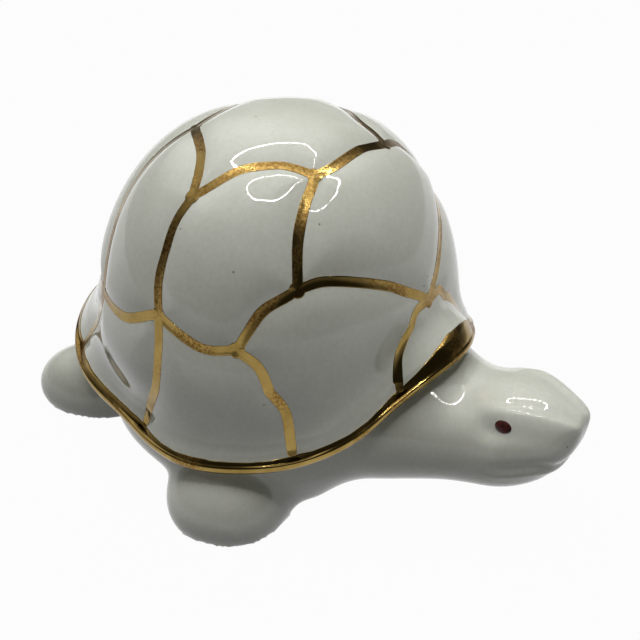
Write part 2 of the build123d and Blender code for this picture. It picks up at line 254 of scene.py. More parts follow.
# %% The seams of one side
seam_knots = {
    "crown": [
        [(35.5, 0.333), (46.0, 0.285), (59.0, 0.266), (79.2, 0.305), (95.5, 0.449)],
        [(95.5, 0.449), (101.0, 0.36), (113.0, 0.288), (132.0, 0.265), (153.2, 0.283)],
    ],
    "upper": [
        [(35.5, 0.333), (44.5, 0.439), (49.0, 0.556), (50.3, 0.707)],
        [(95.5, 0.449), (97.2, 0.544), (96.5, 0.652), (95.8, 0.754), (93.5, 0.852)],
        [(153.2, 0.283), (146.2, 0.439), (139.0, 0.62), (131.0, 0.80), (126.0, 0.937)],
    ],
    "belt": [
        [(0.0, 0.97), (10.8, 0.882), (19.2, 0.810), (31.3, 0.734), (42.2, 0.697), (50.3, 0.707)],
        [(50.3, 0.707), (60.3, 0.764), (65.5, 0.842), (68.0, 0.89)],
        [(68.0, 0.89), (76.8, 0.907), (84.0, 0.890), (93.5, 0.852)],
        [(93.5, 0.852), (97.5, 0.868), (105.8, 0.912), (114.2, 0.930), (126.0, 0.937)],
        [(126.0, 0.937), (141.0, 0.955), (160.0, 0.950), (180.0, 0.93)],
    ],
    "skirt": [
        [(0.0, 0.97), (10.0, 0.985), (17.5, 1.20), (20.5, 1.55), (22.0, 1.93)],
        [(68.0, 0.89), (60.3, 0.965), (55.0, 1.231), (53.8, 1.678), (53.5, 1.95)],
        [(93.5, 0.852), (92.5, 0.957), (94.0, 1.241), (99.8, 1.648), (102.3, 1.95)],
        [(126.0, 0.937), (131.5, 1.12), (138.8, 1.503), (142.0, 1.95)],
    ],
}
left_places = {(35.5, 0.333): (31.5, 0.378)}
middle_knots = [
    [(-35.5, 0.333), (-24.8, 0.331), (-13.0, 0.328), (0.0, 0.328), (13.0, 0.336), (31.5, 0.378)],
    [(153.2, 0.283), (166.0, 0.25), (180.0, 0.237), (194.0, 0.25), (206.8, 0.283)],
]
seam_samples = 96


def catmull_rom(knots, samples):
    """A cubic curve through the rows of an array.

    p(t) = ½(2b + (c−a)t + (2a−5b+4c−d)t² + (3b−a−3c+d)t³) between knots b and c.
    """
    padded = np.vstack([2 * knots[0] - knots[1], knots, 2 * knots[-1] - knots[-2]])
    place = np.linspace(0, len(knots) - 1, samples)
    span = np.minimum(place.astype(int), len(knots) - 2)
    t = (place - span)[:, None]
    a, b, c, d = padded[span], padded[span + 1], padded[span + 2], padded[span + 3]
    square = 2 * a - 5 * b + 4 * c - d
    cube = 3 * b - a - 3 * c + d
    return 0.5 * (2 * b + (c - a) * t + square * t**2 + cube * t**3)


def curve_through(knots):
    """A seam through its knots, as arrays of turn (radians) and down share."""
    curve = catmull_rom(np.array(knots, float), seam_samples)
    return np.radians(curve[:, 0]), curve[:, 1]


def side_seams(group, side):
    """The seams of a group as (turn, down) arrays, on the left (1) or the right (−1)."""
    shifts = left_places if side > 0 else {}
    curves = [curve_through([shifts.get(knot, knot) for knot in knots]) for knots in seam_knots[group]]
    return [(side * turn, down) for turn, down in curves]


sides = (-1, 1)
seams = {(group, side): side_seams(group, side) for group in seam_knots for side in sides}
middle_seams = [curve_through(knots) for knots in middle_knots]
seams[("crown", 1)] += middle_seams
network = np.vstack([shell_skin(turn, down) for curves in seams.values() for turn, down in curves])
print("seams", sum(len(curves) for curves in seams.values()), "places along them", len(network))

# %% [markdown]
# Slip-cast scutes look puffed up because the seams are soft valleys. The depth at a
# place depends only on its distance to the nearest seam, so one formula makes every
# scute. A bump in the material would shade like this, but it would leave the outline
# smooth, and on the real piece the outline dips at each seam. The distances of thousands
# of places are worked out together, in blocks.

# %% Distance to the nearest seam


def seam_distance(places, block=4000):
    """The least √(p² − 2p·q + q²) from each place p to the places q of the seams, in millimetres."""
    flat = places.reshape(-1, 3)
    nearest = np.empty(len(flat))
    squares = (network**2).sum(axis=1)
    for start in range(0, len(flat), block):
        part = flat[start : start + block]
        gap = (part**2).sum(axis=1)[:, None] - 2 * part @ network.T + squares[None, :]
        nearest[start : start + block] = np.sqrt(np.maximum(gap.min(axis=1), 0))
    return nearest.reshape(places.shape[:-1])


top = shell_skin(np.zeros(1), np.zeros(1))
print("from the shell's top to the nearest seam", seam_distance(top).round(1), "mm")

# %% The valleys
valley_depth = 1.3
valley_spread = 3.4
floor_radius = 1.6
puff = 0.85
puff_fade_share = 0.3


def relief(distance):
    """Height against the smooth skin: −depth·exp(−(√(d²+f²)−f)/spread), round at the seam."""
    rounded = np.sqrt(distance**2 + floor_radius**2) - floor_radius
    return -valley_depth * np.exp(-rounded / valley_spread)


def swell(down):
    """The rise of the scutes: the whole puff, fading to nothing over the last share to the lip."""
    return puff * np.clip((2 - down) / puff_fade_share, 0, 1)


def puffed_skin(turn, down):
    """The skin with its valleys: place + normal × (swell + relief)."""
    places = shell_skin(turn, down)
    return places + skin_normal(turn, down) * (swell(down) + relief(seam_distance(places)))[..., None]


print("valley at 0, 3 and 10 mm from a seam", relief(np.array([0.0, 3.0, 10.0])).round(2))

# %% [markdown]
# The shell is one closed surface: down the outside, round the lip's edge, back under it
# and up the inside to the top again. Rings of points run round it at each stage. A Solidify
# modifier could give the wall, but then the lip's round edge would still be missing.

# %% The outside of the carapace
columns = 440
dome_rows = 112
skirt_rows = 56
turns = full_turn(columns)
downs = np.concatenate([np.linspace(0.0, 1.0, dome_rows), np.linspace(1.0, 2.0, skirt_rows + 1)[1:]])
outside = puffed_skin(*np.meshgrid(turns, downs, indexing="xy"))
print("outside of the shell, rows and columns", outside.shape[:2])

# %% The lip's edge and the inside of the carapace
lip_bulge = 0.6
edge_angles = np.radians([60, 30, 0, -30, -60, -90])
under_shares = np.array([0.35, 0.7, 1.0])[:, None]
inner_rows = 22


def lip_edge(turn, angle):
    """Half an ellipse, r = R + bulge·cos(a), z = middle + half·sin(a): 90° is up, −90° is down."""
    radius = lip_radius(turn) + lip_bulge * np.cos(angle)
    height = rim_level(turn) + lip_height / 2 + lip_height / 2 * np.sin(angle)
    return round_axis(turn, radius, height)


edge = lip_edge(turns, edge_angles[:, None])
seat_radius = dome_place(turns, skirt_tilt(turns), shell_wall)[0]
under_radius = lip_radius(turns) * (1 - under_shares) + seat_radius * under_shares
under = round_axis(turns, under_radius, rim_level(turns))
inner_tilt = skirt_tilt(turns) * np.linspace(1, 0, inner_rows)[:, None]
inside = round_axis(turns, *dome_place(turns, inner_tilt, shell_wall))
carapace = mesh_from_arrays("carapace_glazed", *closed_skin(np.vstack([outside, edge, under, inside])))
print("carapace faces", len(carapace.data.polygons))

# %% [markdown]
# The lower half of the casting flows together: belly, neck and head, four feet and a
# stub tail. Each one is its own closed form, and a voxel remesh melts them into one skin.
# A Boolean union would join them too, but it leaves sharp creases and uneven faces. The
# even faces of a remesh can be smoothed, as glaze fills the creases of the real piece.

# %% Round forms


def blunt(wave, power):
    """sign(w)·|w|^(2/p): with p above 2 a round outline turns blunter."""
    return np.sign(wave) * np.abs(wave) ** (2 / power)


def ellipsoid(centre, half_sizes, turn=0.0, power=2.0, rows=40, columns=64):
    """An ellipsoid: centre + (a sin u cos v, b sin u sin v, c cos u), turned round the vertical."""
    around = full_turn(columns)
    u, v = np.meshgrid(np.linspace(0, np.pi, rows), around, indexing="ij")
    x = half_sizes[0] * np.sin(u) * blunt(np.cos(v), power)
    y = half_sizes[1] * np.sin(u) * blunt(np.sin(v), power)
    z = half_sizes[2] * np.cos(u)
    c, s = np.cos(turn), np.sin(turn)
    return np.stack([centre[0] + c * x - s * y, centre[1] + s * x + c * y, centre[2] + z], axis=-1)


def on_the_ground(grid):
    """The same grid, cut flat at the ground: z becomes max(z, 0)."""
    grid[..., 2] = np.maximum(grid[..., 2], 0)
    return grid


ball = ellipsoid((0, 0, 0), (1, 1, 1))
print("rows and columns of a round form", ball.shape[:2])

# %% Feet, shoulders and tail, in millimetres
front_foot = {"turn": 75.0, "reach": 37.0, "half_length": 23.5, "radius": 17.5, "rise": 15.5, "power": 2.4}
rear_foot = {"turn": 153.4, "reach": 55.9, "half_length": 19.0, "radius": 13.0, "rise": 13.0, "power": 2.0}
foot_centre_height = 4.0
tail_place = (-54.0, 0.0, 4.4)
tail_sizes = (18.0, 4.6, 4.4)
shoulder_place = (22.0, 27.0, 8.0)
shoulder_sizes = (15.0, 11.0, 10.0)
shoulder_turn = np.radians(40.0)


def paw(foot, side):
    """A foot: an ellipsoid whose long axis points outward, cut flat at the ground."""
    turn = np.radians(side * foot["turn"])
    centre = (foot["reach"] * np.cos(turn), foot["reach"] * np.sin(turn), foot_centre_height)
    half_sizes = (foot["half_length"], foot["radius"], foot["rise"])
    return on_the_ground(ellipsoid(centre, half_sizes, turn, foot["power"]))


def shoulder(side):
    """The swelling between neck and front foot, cut flat at the ground."""
    along, across, height = shoulder_place
    return on_the_ground(ellipsoid((along, side * across, height), shoulder_sizes, -side * shoulder_turn))


feet = [paw(foot, side) for foot in (front_foot, rear_foot) for side in sides]
shoulders = [shoulder(side) for side in sides]
tail = ellipsoid(tail_place, tail_sizes)
print("feet", len(feet), "shoulders", len(shoulders), "tail from x", tail[..., 0].min())

# %% Neck and head, in millimetres
neck_length = 41.6
head_top_height = 39.0
head_half_width = 17.4
neck_end = 60.0
head_blend = 12.0
head_bluntness = 0.2
neck_rows = 90
neck_columns = 96

# Each station of the neck holds its reach as a share of the neck's length, its centre's
# height and half height as shares of the head's top, and its half width as a share of the
# head's.
neck_stations = np.array([
    (-0.329, 0.494, 0.494, 1.90),
    (-0.130, 0.495, 0.485, 1.55),
    (0.050, 0.498, 0.447, 1.27),
    (0.240, 0.504, 0.389, 1.07),
    (0.421, 0.549, 0.375, 0.995),
    (0.592, 0.606, 0.372, 0.99),
    (0.734, 0.634, 0.327, 0.874),
    (0.858, 0.670, 0.254, 0.70),
    (0.948, 0.732, 0.165, 0.50),
    (1.000, 0.792, 0.075, 0.27),
])


def neck_and_head():
    """Oval rings along +X: y = w·cos(v), z = centre + h·sin(v), from the stations' shares."""
    reach_share, centre_share, height_share, width_share = catmull_rom(neck_stations, neck_rows).T
    reach = shell_plan[0] + neck_length * reach_share
    v = full_turn(neck_columns)
    power = 2 + head_bluntness * np.clip((reach - neck_end) / head_blend, 0, 1)[:, None]
    y = head_half_width * width_share[:, None] * blunt(np.cos(v), power)
    z = head_top_height * (centre_share[:, None] + height_share[:, None] * blunt(np.sin(v), power))
    x = np.broadcast_to(reach[:, None], y.shape)
    return on_the_ground(np.stack([x, y, z], axis=-1))


neck = neck_and_head()
print("nose at x", neck[-1, 0, 0].round(1), "and top of the head at z", neck[..., 2].max().round(1))

# %% Belly, in millimetres
belly_radius = 30.0
belly_shoulder_height = 15.0
lip_overhang = 1.5
belly_columns = 144
belly_rows = 16
collar_height = 1.0
collar_slope = 4.0
lid_height = 5.0


def belly():
    """The bowl: a quarter ellipse from the flat underside out to the wall, then a collar and a lid."""
    turn = full_turn(belly_columns)
    wall = round_plan(turn, shell_plan) - lip_overhang
    bend = np.linspace(0, np.pi / 2, belly_rows)[:, None]
    radius = belly_radius + (wall - belly_radius) * np.sin(bend)
    height = np.broadcast_to(belly_shoulder_height * (1 - np.cos(bend)), radius.shape)
    seat = rim_level(turn)
    pole = np.zeros(belly_columns)
    lid = pole + rim_height + lid_height
    radius = np.vstack([pole, radius, wall, wall - collar_slope, pole])
    height = np.vstack([pole, height, seat + collar_height, seat + lid_height, lid])
    return round_axis(turn, radius, height)


bowl = belly()
print("belly from x", bowl[..., 0].min().round(1), "to", bowl[..., 0].max().round(1))

# %% Melt the forms into one skin
voxel_size = 0.66


def join_skins(skins):
    """Several closed skins in one list of places and faces, with the face numbers moved on."""
    places, quads, fans = zip(*skins)
    offsets = np.cumsum([0] + [len(part) for part in places[:-1]])
    quads = [part + offset for part, offset in zip(quads, offsets)]
    fans = [part + offset for part, offset in zip(fans, offsets)]
    return np.vstack(places), np.vstack(quads), np.vstack(fans)


forms = [bowl, neck] + feet + [tail] + shoulders
body = mesh_from_arrays("body_glazed", *join_skins([closed_skin(form) for form in forms]))
melt = body.modifiers.new("melt", "REMESH")
melt.mode = "VOXEL"
melt.voxel_size = voxel_size * MM
melt.use_smooth_shade = True
melted = bpy.data.meshes.new_from_object(body.evaluated_get(bpy.context.evaluated_depsgraph_get()))
body.modifiers.clear()
body.data = melted
print("body faces", len(melted.polygons))

# %% [markdown]
# Smoothing moves every point to the mean of the points that it is joined to. Sixteen
# passes round a crease off over two or three millimetres. A Smooth modifier does the same,
# but here points near the ground are held back, so that the undersides stay flat.

# %% Smooth the melted skin
first_passes = 16
ground_fade = 1.0


def read_places(mesh):
    """All vertex places of a mesh, in millimetres."""
    flat = np.empty(len(mesh.vertices) * 3)
    mesh.vertices.foreach_get("co", flat)
    return flat.reshape(-1, 3) / MM


def write_places(mesh, places):
    """Puts places in millimetres back into a mesh."""
    mesh.vertices.foreach_set("co", (places * MM).ravel())
    mesh.update()


def smoothed(mesh, places, passes, hold):
    """Each pass: p → mean of the neighbours of p. hold from 0 to 1 keeps a point where it is."""
    ends = np.empty(len(mesh.edges) * 2, int)
    mesh.edges.foreach_get("vertices", ends)
    a, b = ends.reshape(-1, 2).T
    total = len(places)
    count = np.bincount(a, minlength=total) + np.bincount(b, minlength=total)
    for _ in range(passes):
        sums = [
            np.bincount(a, places[b, axis], total) + np.bincount(b, places[a, axis], total)
            for axis in range(3)
        ]
        mean = np.stack(sums, axis=1) / count[:, None]
        places = mean * (1 - hold) + places * hold
    return places


def largest_move(before, after):
    """The longest way that a point went, in millimetres."""
    return round(float(np.linalg.norm(after - before, axis=1).max()), 2)


melted_places = read_places(body.data)
ground = np.clip(1 - melted_places[:, 2] / ground_fade, 0, 1)[:, None]
skin_places = smoothed(body.data, melted_places, first_passes, ground)
print("smoothing moved a point by up to", largest_move(melted_places, skin_places), "mm")

# %% [markdown]
# Where a foot runs into the body the real piece has a wide soft hollow. There the skin
# is smoothed much longer, most at a few soft places and less away from them. As many
# passes over the whole skin would melt the head away.

# %% Soft hollows round the feet
soft_passes = 120
soft_radius = 7.0
left_soft_places = np.array([
    (-10.0, 38.0, 12.0),
    (4.0, 40.0, 15.0),
    (18.0, 36.0, 13.0),
    (28.0, 30.0, 9.0),
    (34.0, 24.0, 6.0),
    (-46.0, 30.0, 12.0),
    (-52.0, 18.0, 8.0),
])
soft_places = np.vstack([left_soft_places, left_soft_places * (1, -1, 1)])


def near_any(places, spots, radius):
    """1 at the nearest spot, falling as exp(−(distance/radius)²)."""
    gap = np.linalg.norm(places[:, None, :] - spots[None, :, :], axis=2).min(axis=1)
    return bell(gap, radius)


softness = near_any(skin_places, soft_places, soft_radius)[:, None]
creased_places = skin_places
skin_places = smoothed(body.data, creased_places, soft_passes, np.maximum(1 - softness, ground))
print("soft hollows moved a point by up to", largest_move(creased_places, skin_places), "mm")

# %% [markdown]
# The head's features are pressed into the skin. A ridge runs over each eye to the beak, and
# the head is flat between the two. Below each ridge lie a hollow and the eye's socket, and
# below those the mouth's crease, with the lower lip under it. Each feature is a line or a
# place, and it moves the skin by a bell curve of the distance to it. A sculpting brush
# does the same by hand, but here each depth and width is a number.

# %% Lines and depths of the head's features, in millimetres
brow_line = np.array([
    (67.0, 9.8, 33.6),
    (74.9, 8.4, 35.3),
    (79.1, 6.6, 34.8),
    (83.3, 4.8, 33.8),
    (88.0, 3.2, 32.3),
])
brow_height = 0.55
brow_spread = 1.7
roof_crown = 1.8
roof_fade = 9.0
hollow_line = np.array([
    (70.0, 14.0, 31.6),
    (76.0, 12.6, 31.6),
    (82.0, 9.4, 30.8),
    (86.0, 6.8, 30.2),
])
hollow_depth = 0.75
hollow_spread = 2.6
socket_place = np.array([(70.6, 14.6, 31.2)])
socket_depth = 0.8
socket_spread = 4.0
mouth_line = np.array([
    (70.0, 17.0, 21.8),
    (76.9, 15.7, 23.4),
    (82.0, 12.6, 24.7),
    (84.5, 9.5, 24.0),
    (87.5, 6.0, 21.6),
])
mouth_fade = 5.0
crease_depth = 1.15
crease_spread = 0.75
lip_swell = 0.55
lip_below = 1.9
lip_spread = 1.2
line_samples = 60
head_passes = 5
print("mouth from", mouth_line[0], "to", mouth_line[-1])

# %% Brow, sockets and mouth


def vertex_normals(mesh):
    """The unit normals of a mesh's vertices."""
    flat = np.empty(len(mesh.vertices) * 3)
    mesh.vertex_normals.foreach_get("vector", flat)
    return flat.reshape(-1, 3)


def along_line(knots):
    """Places on a line of straight pieces, as many on each piece."""
    place = np.linspace(0, len(knots) - 1, line_samples)
    return np.stack([np.interp(place, np.arange(len(knots)), column) for column in knots.T], axis=1)


def head_features(places, normals):
    """The head's places after the roof is pressed flat and each feature has moved the skin.

    Roof: between the brows z is at most z(brow) + crown·(1 − (y/y(brow))²). The others act
    along the normals: height·exp(−(d/spread)²), with d the distance to a line or place, or
    the drop from the mouth's level.
    """
    folded = places.copy()
    folded[:, 1] = np.abs(folded[:, 1])
    x, y, z = folded.T
    ridge_y, ridge_z = (np.interp(x, brow_line[:, 0], brow_line[:, axis]) for axis in (1, 2))
    roof = ridge_z + roof_crown * (1 - (y / ridge_y) ** 2)
    roof_share = np.clip((x - brow_line[0, 0]) / roof_fade, 0, 1)
    press = np.clip(z - roof, 0, None) * (y < ridge_y) * roof_share
    brow = brow_height * near_any(folded, along_line(brow_line), brow_spread)
    hollow = -hollow_depth * near_any(folded, along_line(hollow_line), hollow_spread)
    socket = -socket_depth * near_any(folded, socket_place, socket_spread)
    drop = z - np.interp(x, mouth_line[:, 0], mouth_line[:, 2])
    mouth_share = np.clip((x - mouth_line[0, 0]) / mouth_fade, 0, 1)
    crease = -crease_depth * bell(drop, crease_spread) * mouth_share
    lip = lip_swell * bell(drop + lip_below, lip_spread) * mouth_share
    moved = places + normals * (brow + hollow + socket + crease + lip)[:, None]
    moved[:, 2] -= press
    return moved


write_places(body.data, skin_places)
plain_places = skin_places.copy()
on_head = skin_places[:, 0] > neck_end
skin_places[on_head] = head_features(skin_places[on_head], vertex_normals(body.data)[on_head])
off_head = (1.0 - on_head)[:, None]
skin_places = smoothed(body.data, skin_places, head_passes, np.maximum(off_head, ground))
skin_places[:, 2] = np.maximum(skin_places[:, 2], 0)
write_places(body.data, skin_places)
print("the head's features moved a point by up to", largest_move(plain_places, skin_places), "mm")

# %% [markdown]
# The gold lies in each valley as a thin film. A film is a flat closed tube that follows
# its seam: across, it is as wide as the brush line, and it stands a tenth of a
# millimetre proud. Its edges wander, because they were brushed by hand. A colour on the
# shell would be quicker, but the gold is a piece of its own, with its own node.

# %% A wave that wanders
wander_waves = 5
weakest_wave = 0.4


def wander(along, seed, scale):
    """A smooth random wave along a line: half the sum of aₖ sin(k·along/scale + phaseₖ)/k."""
    local = np.random.default_rng(seed)
    waves = np.zeros_like(along)
    for k in range(1, wander_waves + 1):
        phase = local.uniform(0, 2 * np.pi)
        waves += np.sin(along / scale * k + phase) * local.uniform(weakest_wave, 1) / k
    return waves / 2


print("a wave at 0, 5 and 10 mm", wander(np.array([0.0, 5.0, 10.0]), 1, 4.0).round(2))

# %% Gold film along a seam, in millimetres
line_half_width = 1.27
line_wander = 0.11
left_wander_scale = 4.0
right_wander_scale = 4.7
right_seed_step = 1000
film_columns = 20
film_proud = 0.10
film_lift = 0.035


def gold_film(turn, down, seed):
    """A closed flat tube along one seam.

    Across: x = w·cos(v). Height over the puffed skin: (lift + proud·sin(v)) × cap. The half
    width w is multiplied by the cap too, which falls to 0 at both ends as a half circle does.
    """
    centre = shell_skin(turn, down)
    normal = skin_normal(turn, down)
    step = np.gradient(centre, axis=0)
    length = np.concatenate([[0], np.cumsum(np.linalg.norm(np.diff(centre, axis=0), axis=1))])
    tangent = step / np.linalg.norm(step, axis=1, keepdims=True)
    across = np.cross(normal, tangent)
    from_end = np.minimum(length, length[-1] - length)
    cap = np.sqrt(np.clip(1 - (1 - from_end / line_half_width).clip(0, 1) ** 2, 0, 1))[:, None]
    left = line_half_width * (1 + line_wander * wander(length, seed, left_wander_scale))
    right = line_half_width * (1 + line_wander * wander(length, seed + right_seed_step, right_wander_scale))
    v = full_turn(film_columns)
    half = np.where(np.cos(v) > 0, left[:, None], right[:, None]) * cap
    x = half * np.cos(v)
    flat = centre[:, None, :] + across[:, None, :] * x[..., None]
    rise = swell(down)[:, None] + relief(seam_distance(flat)) + (film_lift + film_proud * np.sin(v)) * cap
    return flat + normal[:, None, :] * rise[..., None]


film = gold_film(*seams[("crown", -1)][0], seed=1)
print("film on the crown, from", film[0, 0].round(1).tolist(), "to", film[-1, 0].round(1).tolist())

# %% Gold dab where seams meet, in millimetres
dab_radius = 2.0
dab_wander = 0.10
dab_rows = 12
dab_columns = 28


def gold_dab(turn, down, seed):
    """A round dab with a wandering outline: reach r·cos(s), height lift + proud·sin(s)."""
    turn = np.array([turn])
    down = np.array([down])
    centre = shell_skin(turn, down)[0]
    normal = skin_normal(turn, down)[0]
    side = np.cross(normal, (0, 0, 1.0))
    side /= np.linalg.norm(side)
    up = np.cross(side, normal)
    angle = full_turn(dab_columns)
    radius = dab_radius * (1 + dab_wander * wander(angle, seed, 1.0))
    stage = np.radians(np.linspace(90, -90, dab_rows))
    reach = np.cos(stage)[:, None] * radius[None, :]
    flat = centre + reach[..., None] * (np.cos(angle)[:, None] * side + np.sin(angle)[:, None] * up)
    rise = puff + relief(seam_distance(flat)) + film_lift + film_proud * np.sin(stage)[:, None]
    return flat + normal * rise[..., None]


dab = gold_dab(*(end[0] for end in seams[("crown", -1)][0]), seed=1)
print("dab on the crown, rows and columns", dab.shape[:2])

# %% Gold pieces of both sides
side_names = {-1: "right", 1: "left"}
dab_seed_step = 100
piece_seed_step = 200


def gold_piece(name, curves, spots, seed):
    """The films and dabs of one group of lines, as one mesh."""
    films = [gold_film(turn, down, seed + number) for number, (turn, down) in enumerate(curves)]
    dab_seed = seed + dab_seed_step
    dabs = [gold_dab(turn, down, dab_seed + number) for number, (turn, down) in enumerate(spots)]
    skins = [closed_skin(film, flip=True) for film in films] + [closed_skin(dab) for dab in dabs]
    return mesh_from_arrays(name, *join_skins(skins))


def junctions(curves):
    """The ends of seams above the skirt, rounded, so that a shared end counts once."""
    ends = [(turn[end], down[end]) for turn, down in curves for end in (0, -1)]
    return {(round(float(turn), 4), round(float(down), 4)) for turn, down in ends if down < 1}


gold_pieces = {}
seed = 1
dabbed = set()
for group in seam_knots:
    for side in sides:
        curves = seams[(group, side)]
        spots = sorted(junctions(curves) - dabbed)
        dabbed |= junctions(curves)
        name = f"gold_{group}_{side_names[side]}"
        gold_pieces[name] = gold_piece(name + "_lustre", curves, spots, seed)
        seed += piece_seed_step
print("gold line pieces", sorted(gold_pieces), "and dabs", len(dabbed))

# %% [markdown]
# The lip is gilded too. The film starts on the flare, runs over the edge and ends under
# it. How far up the flare it starts changes round the shell: it is widest over the neck,
# where the brush was pressed, and a little wider again at both rear flanks. A second
# finish on some of the lip's faces would have a border with steps.

# %% Where the lip's gold starts
band_width = 1.2
neck_band = 4.2
neck_band_spread = 15.0
flank_band = 1.0
flank_turn = 128.0
flank_band_spread = 24.0
band_wander = 0.35
band_wander_reach = 40.0
band_wander_scale = 3.0
band_seed = 5


def band_start(turn):
    """Down share where the lip's gold starts: 2 − band width / skirt length, in millimetres.

    The width is the band's own, plus a bell over the neck, a bell at each flank and a wander.
    """
    degrees = np.abs(degrees_from_front(turn))
    neck = neck_band * bell(degrees, neck_band_spread)
    flank = flank_band * bell(degrees - flank_turn, flank_band_spread)
    uneven = band_wander * wander(turn * band_wander_reach, band_seed, band_wander_scale)
    start = dome_place(turn, skirt_tilt(turn))
    skirt_length = np.hypot(lip_radius(turn) - start[0], start[1] - rim_level(turn) - lip_height)
    return 2 - (band_width + neck + flank + uneven) / skirt_length


# %% Gold on the lip
band_columns = 720
flare_rows = 16
band_proud = 0.11
band_start_lift = 0.02
band_rise_share = 1 / 6
inset_below = 0.7
inset_above = 0.8
drop_above = 0.6
start_sink = 0.15
band_turns = full_turn(band_columns)
share = np.linspace(0, 1, flare_rows)[:, None]
band_down = band_start(band_turns) * (1 - share) + 2.0 * share
band_turn = np.broadcast_to(band_turns, band_down.shape)
risen = np.sqrt(np.clip(share / band_rise_share, 0, 1))
lift = band_start_lift + (band_proud - band_start_lift) * risen
normals = skin_normal(band_turn, band_down)
flare = puffed_skin(band_turn, band_down) + normals * lift[..., None]
bare_edge = lip_edge(band_turns, edge_angles[:, None])
outward = round_axis(band_turns, 1.0, 0.0)
gilded_edge = bare_edge + outward * (band_proud * np.cos(edge_angles))[:, None, None]
gilded_edge[..., 2] += band_proud * np.sin(edge_angles)[:, None]
inner_below = bare_edge[-1] - outward * inset_below
inner_above = bare_edge[0] - outward * inset_above
inner_above[:, 2] -= drop_above
under_start = flare[0] - normals[0] * start_sink
band = np.vstack([flare, gilded_edge, [inner_below, inner_above, under_start]])
quads = grid_faces(len(band) + 1, band_columns, True) % (len(band) * band_columns)
gold_pieces["gold_edge"] = mesh_from_arrays("gold_edge_lustre", band.reshape(-1, 3), quads)
print("rings in the lip's gold", len(band))

# %% [markdown]
# The eyes are two oval dots of dark red-brown enamel, a little proud of the glaze. A flat
# oval would cut into the curved head, so each point of the dot is set on the mean height of
# the skin round it, weighted by a bell curve of the distance.

# %% Painted eyes
eye_turn = np.radians(39.0)
eye_half_length = 2.15
eye_half_height = 1.5
eye_tilt = np.radians(2.0)
eye_station = (0.606, 0.621, 0.377, 0.985)
eye_rim_lift = 0.06
eye_dome_lift = 0.16
eye_sink = 0.25
eye_rows = 14
eye_columns = 48
seat_reach = 6.0
seat_spread = 0.8
least_weight = 1e-9


def eye_dot(side):
    """An oval dome: (a ρ cos v, b ρ sin v) on the head, with the lift rim + dome·√(1 − ρ²)."""
    reach_share, centre_share, height_share, width_share = eye_station
    half_height = head_top_height * height_share
    half_width = head_half_width * width_share
    centre = np.array([
        shell_plan[0] + neck_length * reach_share,
        side * half_width * np.cos(eye_turn),
        head_top_height * centre_share + half_height * np.sin(eye_turn),
    ])
    normal = np.array([0.0, side * np.cos(eye_turn) / half_width, np.sin(eye_turn) / half_height])
    normal /= np.linalg.norm(normal)
    along = np.array([1.0, 0, 0])
    up = np.cross(along, normal) * -side
    stage = np.linspace(0, 1, eye_rows)
    angle = full_turn(eye_columns)
    rho = np.concatenate([stage, stage[::-1]])[:, None]
    dome = eye_rim_lift + eye_dome_lift * np.sqrt(1 - stage**2)
    lift = np.concatenate([dome, np.full(eye_rows, -eye_sink)])[:, None]
    level_x = eye_half_length * rho * np.cos(angle)
    level_y = eye_half_height * rho * np.sin(angle)
    x = np.cos(eye_tilt) * level_x - np.sin(eye_tilt) * level_y
    y = np.sin(eye_tilt) * level_x + np.cos(eye_tilt) * level_y
    flat = centre + x[..., None] * along + y[..., None] * up
    near = skin_places[np.linalg.norm(skin_places - centre, axis=1) < seat_reach]
    gaps = np.linalg.norm(flat.reshape(-1, 1, 3) - near[None], axis=2)
    weights = bell(gaps, seat_spread) + least_weight
    height = (weights * ((near - centre) @ normal)).sum(axis=1) / weights.sum(axis=1)
    return flat + (height.reshape(x.shape) + lift)[..., None] * normal


eyes = {}
for side in sides:
    name = side_names[side] + "_eye"
    eyes[name] = mesh_from_arrays(name + "_enamel", *closed_skin(eye_dot(side), flip=side > 0))
print("eyes", sorted(eyes), "with faces", [len(eye.data.polygons) for eye in eyes.values()])

# %% [markdown]
# Three finishes cover the whole ornament. Each is a small node tree on the object's own
# coordinates, so the pattern stays on the piece from any side. Painted pictures would do
# too, but they need the surface unfolded first. Two helpers come before the finishes, to
# add nodes and feed them.

# %% A helper for node trees


class NodeTree:
    """The nodes of a material or a world: add them and feed their inputs."""

    def __init__(self, owner):
        owner.use_nodes = True
        self.nodes = owner.node_tree.nodes
        self.links = owner.node_tree.links

    def feed(self, target, value):
        """Joins an output to an input, or sets a value there. A colour gets its fourth part."""
        if isinstance(value, bpy.types.NodeSocket):
            self.links.new(value, target)
        else:
            target.default_value = (*value, 1) if isinstance(value, tuple) else value

    def node(self, kind, *first_inputs, **settings):
        """A new node. Its first inputs come in order, and settings name properties or inputs."""
        made = self.nodes.new(kind)
        for key, value in settings.items():
            if hasattr(made, key):
                setattr(made, key, value)
            else:
                self.feed(made.inputs[key.replace("_", " ")], value)
        for target, value in zip(made.inputs, first_inputs):
            self.feed(target, value)
        return made

    def ramp(self, factor, stops, interpolation="LINEAR"):
        """A colour ramp with stops of (position, colour)."""
        made = self.node("ShaderNodeValToRGB", factor)
        made.color_ramp.interpolation = interpolation
        for element, (position, colour) in zip(made.color_ramp.elements, (stops[0], stops[-1])):
            element.position = position
            element.color = (*colour, 1)
        for position, colour in stops[1:-1]:
            made.color_ramp.elements.new(position).color = (*colour, 1)
        return made.outputs["Color"]

    def mix(self, factor, first, second, blend="MIX"):
        """Two colours blended by a factor."""
        made = self.node("ShaderNodeMix", factor, data_type="RGBA", blend_type=blend)
        self.feed(made.inputs[6], first)
        self.feed(made.inputs[7], second)
        return made.outputs[2]


# %% A helper for materials


